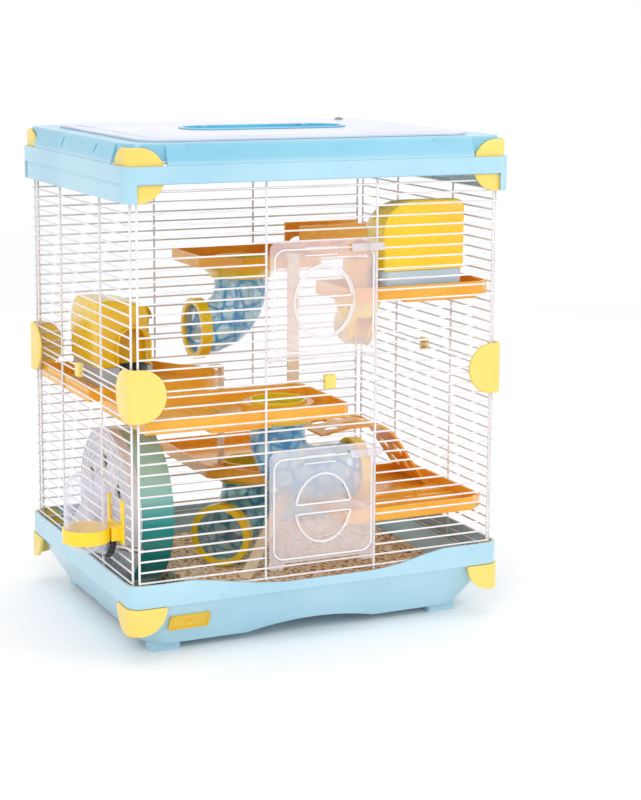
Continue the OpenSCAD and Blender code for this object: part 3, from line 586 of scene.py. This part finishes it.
# ---------------------------------------------------------------- wires
def panel(node, z0, side, s, gap=(0, 0), hinge=-1):
    m = Mesh()
    c = HX if side else HY
    l = HY - 5.4 if side else HX - 5.4
    iv = HY * 0.4 if side else DX

    def w(a, b, r=WR):
        if side:
            a, b = (s * a[1], a[0], a[2]), (s * b[1], b[0], b[2])
        else:
            a, b = (a[0], s * a[1], a[2]), (b[0], s * b[1], b[2])
        t = tube([a, b], r, 10)
        m.add(t.v, t.f)
    for k in range(NH):
        z = z0 + k * PITCH
        if gap[0] + 1 < z < gap[1] - 1:
            for i in (-1, 1):
                w((i * (DX - 0.6), c, z), (i * l, c, z))
        else:
            w((-l, c, z), (l, c, z))
    z1 = z0 + (NH - 1) * PITCH
    for q in (-l + 1.4, -iv, iv, l - 1.4):
        w((q, c - 1.7 * WR, z0 - WR), (q, c - 1.7 * WR, z1 + WR), 1.25)
    m.obj(node + "_wires", node, sharp=60)


ZB = LO - (NH - 1) * PITCH
panel("lower_front", ZB, False, -1, (LO_HINGE, LO_HINGE + DOOR_OPEN))
panel("lower_back", ZB, False, 1)
panel("lower_left", ZB, True, -1)
panel("lower_right", ZB, True, 1)
panel("upper_front", UP, False, -1, (UP_HINGE, UP_HINGE + DOOR_OPEN))
panel("upper_back", UP, False, 1)
panel("upper_left", UP, True, -1)
panel("upper_right", UP, True, 1)


# ---------------------------------------------------------------- everything else, rounded from the frame
DONE = {"lower_front", "lower_back", "lower_left", "lower_right", "upper_front", "upper_back", "upper_left", "upper_right"}
for nm, a, b in (("clip_fl", -1, -1), ("clip_fr", 1, -1), ("clip_bl", -1, 1), ("clip_br", 1, 1)):
    wrap_clip(a, b, SEAM, hs=11.0).obj(nm + "_shell", nm, sharp=50)
    DONE.add(nm)
elbow("tube_top", "tube_top_net", (13, 84), 358.8, 20, 10, 180, NET_PALE)
elbow("tube_middle", "tube_middle_net", (-16, -87), 227.8, 24.8, 47, 0)
elbow("tube_low", "tube_low_net", (4, 40), 133.8, 9, 34, -135, NET_TEAL)
for k, (a, b) in enumerate(((-1, -1), (1, -1), (-1, 1), (1, 1))):
    wrap_clip(a, b, 490.0, hs=11.0, edge=1.3).obj("lid_clip_shell_%d" % k, "lid_clips", sharp=50)
DONE |= {"tube_top", "tube_middle", "tube_low", "lid_clips"}


def bottle():
    R, zc, zt = 21.5, 130.0, 193.0 - 21.5
    prof = [(R * sin(radians(a)), zc - R * cos(radians(a))) for a in range(2, 91, 4)]
    prof += [(R, z) for z in (138, 146, 147.0)] + [(R - 0.5, 148.0), (R - 0.5, 149.0), (R, 150.0), (R, 158), (R, 166)]
    prof += [(R * cos(radians(a)), zt + R * sin(radians(a))) for a in range(0, 70, 4)]
    prof += [(7.0, zt + R * 0.945), (4.5, zt + R * 0.975), (0.02, zt + R * 0.999)]
    m = lathe(prof, (BEX, BEY, 0), n=80)
    cap_z = LO - 14.5 * PITCH + (-HX - BEX) * math.tan(radians(17))
    ax = Vector((cos(radians(17)), 0, -sin(radians(17))))
    neck = lathe([(8.6, 12), (9.4, 14), (9.5, 19), (10.4, 19.6), (10.4, 21.2), (9.3, 21.8), (7.9, 21.8), (7.9, 12)], (BEX, BEY, cap_z), ax, n=48)
    m.add(neck.v, neck.f)
    return m.obj("bottle_clear", "bottle", sharp=50)


hut("left_hut_roof", (-139, 88, 264.1), -90)
hut("right_hut_roof", (123, -118, 381.1), 0)
DONE |= {"left_hut_roof", "right_hut_roof"}

BEX, BEY = -240.0, -118.0
bottle()
DONE.add("bottle")
BEV = {"tray": 1.0, "lid": 0.8, "roof_panel": 0.6, "handle_cup": 0.6, "carry_handle": 1.4, "tray_clips": 0.7, "lid_clips": 0.7,
       "clip_fl": 0.8, "clip_fr": 0.8, "clip_bl": 0.8, "clip_br": 0.8, "left_hut_roof": 2.0, "right_hut_roof": 2.0,
       "left_shelf": 0.7, "middle_platform": 0.7, "right_shelf": 0.7, "top_platform": 0.7, "back_platform": 0.7, "low_platform": 0.7}
OWN = {"lid": LID_BLUE, "handle_cup": CUP_BLUE, "name_plate": PLATE_YELLOW}
for n in sorted(frame["nodes"]):
    if n in DONE:
        continue
    recut(n, BEV.get(n, 0.4), mat=OWN.get(n))

# ---------------------------------------------------------------- raised lines on the doors
ridge = plastic("door_ridge", *P3("#f0eaee", "#faf6f8", "#ffffff"), rough=0.28, coat=0.3, alpha=0.85, grain=0.03, sss=0.2)


def door_lines(node, h, circle):
    y = -HY - WR - 0.5 - 2.6
    m = Mesh()

    def line(pts, r=0.85, closed=True, flat=1.0):
        t = tube([(p[0], y - 0.15, p[1]) for p in pts], r, 8, closed)
        m.add(t.v, t.f)
    line(rr_points(0, h + 60.5, 55.5, 52.5, 11))
    cz = h + 4 + 119 * 0.46
    for s in (1, -1):
        d = []
        for k in range(25):
            a = radians(14 + 152 * k / 24)
            d.append((31 * cos(a), cz + s * 36 * sin(a)))
        z0 = cz + s * 5.0
        d += [(-31.6, z0 + s * 1.6), (-29.6, z0 + s * 0.3), (-27, z0)] + [(-27 + 54 * k / 8, z0) for k in range(1, 8)] + [(27, z0), (29.6, z0 + s * 0.3), (31.6, z0 + s * 1.6)]
        line(d, 1.0)
    if circle:
        line([(33.4 * cos(2 * pi * k / 64), cz + 38.0 * sin(2 * pi * k / 64)) for k in range(64)], 0.8)
    line([(-22, h + 106.5), (-22, h + 114), (14, h + 114), (14, h + 106.5)], 0.7)
    m.obj(node + "_lines", node, ridge, replaces=False, sharp=60)


door_lines("upper_door", UP_HINGE, True)
door_lines("lower_door", LO_HINGE, False)

# ---------------------------------------------------------------- wheel details
def wheel_lines():
    m = Mesh()
    for r in (82.0, 74.0, 66.0, 58.0, 42.0, 34.0, 26.0, 17.0):
        t = tube([(-170.1, 28 + r * cos(2 * pi * k / 96), 115 + r * sin(2 * pi * k / 96)) for k in range(96)], 0.7, 6, True)
        m.add(t.v, t.f)
    m.obj("wheel_cover_rings", "wheel_cover", replaces=False, sharp=60)
    m = Mesh()
    for r in (84.0,):
        for x in (-158.2, -122.6):
            t = tube([(x, 28 + (r - 0.4) * cos(2 * pi * k / 96), 115 + (r - 0.4) * sin(2 * pi * k / 96)) for k in range(96)], 0.9, 6, True)
            m.add(t.v, t.f)
    m.obj("wheel_drum_beads", "wheel_drum", replaces=False, sharp=60)


wheel_lines()

# ---------------------------------------------------------------- bedding granules
def granules():
    m = Mesh()
    lo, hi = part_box("bedding")
    for k in range(5200):
        x = rng.uniform(-184, 184)
        y = rng.uniform(-142, 142)
        if -190 < x < -108 and -58 < y < 118:
            continue
        ex, ey = 190 - 16, 146 - 16
        dx, dy = max(abs(x) - ex, 0), max(abs(y) - ey, 0)
        if dx * dx + dy * dy > 15 * 15:
            continue
        edge = min(190 - abs(x), 147 - abs(y))
        z = 38.0 + min(edge, 14) / 14 * 4.2 + rng.uniform(-1.2, 0.9)
        z += 0.9 * noise.noise(Vector((x * 0.03, y * 0.03, 0.3)))
        z = min(z, 43.2)
        l, w, h = rng.uniform(2.6, 6.5), rng.uniform(1.6, 3.2), rng.uniform(1.0, 2.2)
        rot = Matrix.Rotation(rng.uniform(0, 2 * pi), 3, "Z") @ Matrix.Rotation(rng.uniform(-0.6, 0.6), 3, "X") @ Matrix.Rotation(rng.uniform(-0.5, 0.5), 3, "Y")
        vs = []
        for (a, b, c) in ((-.5, -.35, -.3), (.5, -.4, -.35), (.45, .4, -.3), (-.4, .45, -.35), (-.35, -.3, .4), (.4, -.35, .35), (.3, .35, .45), (-.3, .3, .35)):
            q = Vector((a * l * rng.uniform(.8, 1.15), b * w * rng.uniform(.8, 1.2), c * h * rng.uniform(.8, 1.2)))
            vs.append(rot @ q + Vector((x, y, z)))
        m.add(vs, [(0, 3, 2, 1), (4, 5, 6, 7), (0, 1, 5, 4), (1, 2, 6, 5), (2, 3, 7, 6), (3, 0, 4, 7)])
    return m.obj("bedding_granules", "bedding", sharp=70, replaces=False)


granules()

# ---------------------------------------------------------------- floor, light, camera
fm, ft, fb = nodes_of("studio_floor")
fco = ft.nodes.new("ShaderNodeTexCoord").outputs["Object"]
fn = tex(ft, "ShaderNodeTexNoise", Scale=3.0, Detail=2.0)
ft.links.new(fco, fn.inputs["Vector"])
fr = ramp(ft, [(0.3, (0.93, 0.93, 0.93)), (0.7, (0.96, 0.96, 0.96))], fn.outputs["Fac"])
ft.links.new(fr.outputs["Color"], fb.inputs["Base Color"])
set_in(fb, rough=0.6, spec=0.2)
fme = bpy.data.meshes.new("studio_floor")
S, B, RAD = 6.0, 2.2, 1.2
prof = [(-S, 0.0), (B, 0.0)] + [(B + RAD * sin(radians(a)), RAD - RAD * cos(radians(a))) for a in range(6, 91, 6)] + [(B + RAD, 5.0)]
ang = radians(-25.0)
vs, fs = [], []
for i, (d, z) in enumerate(prof):
    for s in (-7.0, 7.0):
        vs.append((s * cos(ang) - d * sin(ang), s * sin(ang) + d * cos(ang), z))
for i in range(len(prof) - 1):
    fs.append((2 * i, 2 * i + 1, 2 * i + 3, 2 * i + 2))
fme.from_pydata(vs, [], fs)
for p in fme.polygons:
    p.use_smooth = True
floor = bpy.data.objects.new("studio_floor", fme)
bpy.context.scene.collection.objects.link(floor)
fme.materials.append(fm)

w = bpy.data.worlds.new("studio")
bpy.context.scene.world = w
w.use_nodes = True
w.node_tree.nodes["Background"].inputs["Color"].default_value = (0.97, 0.98, 1.0, 1)
w.node_tree.nodes["Background"].inputs["Strength"].default_value = 1.0


def area(name, loc, at, size, power, col=(1, 1, 1)):
    l = bpy.data.lights.new(name, "AREA")
    l.shape = "RECTANGLE"
    l.size, l.size_y = size
    l.energy = power
    l.color = col
    o = bpy.data.objects.new(name, l)
    o.location = loc
    o.rotation_mode = "QUATERNION"
    o.rotation_quaternion = (Vector(at) - Vector(loc)).to_track_quat("-Z", "Y")
    bpy.context.scene.collection.objects.link(o)


area("key", (-1.5, -2.0, 1.7), (0, 0, 0.25), (1.3, 1.3), 19)
area("fill", (1.9, -1.5, 1.0), (0, 0, 0.25), (1.6, 1.6), 9)
area("top", (0.1, 0.2, 2.2), (0, 0, 0.3), (1.8, 1.8), 7)

cam = bpy.data.cameras.new("camera")
co = bpy.data.objects.new("camera", cam)
bpy.context.scene.collection.objects.link(co)
cam.sensor_width = 36.0
cam.lens = 1903.8 * 36 / 800
cam.shift_y = -0.10
cam.clip_start, cam.clip_end = 0.05, 60
yaw, pitch, roll = radians(25.334), radians(9.139), radians(0.373)
fwd = Vector((sin(yaw) * cos(pitch), cos(yaw) * cos(pitch), -sin(pitch)))
right = Vector((cos(yaw), -sin(yaw), 0))
up = right.cross(fwd)
r2 = right * cos(roll) + up * sin(roll)
u2 = -right * sin(roll) + up * cos(roll)
mw = Matrix((( r2.x, u2.x, -fwd.x, (-821.4 + OX) / 1000), (r2.y, u2.y, -fwd.y, (-1892.7 + OY) / 1000), (r2.z, u2.z, -fwd.z, 0.6451), (0, 0, 0, 1)))
co.matrix_world = mw
bpy.context.scene.camera = co
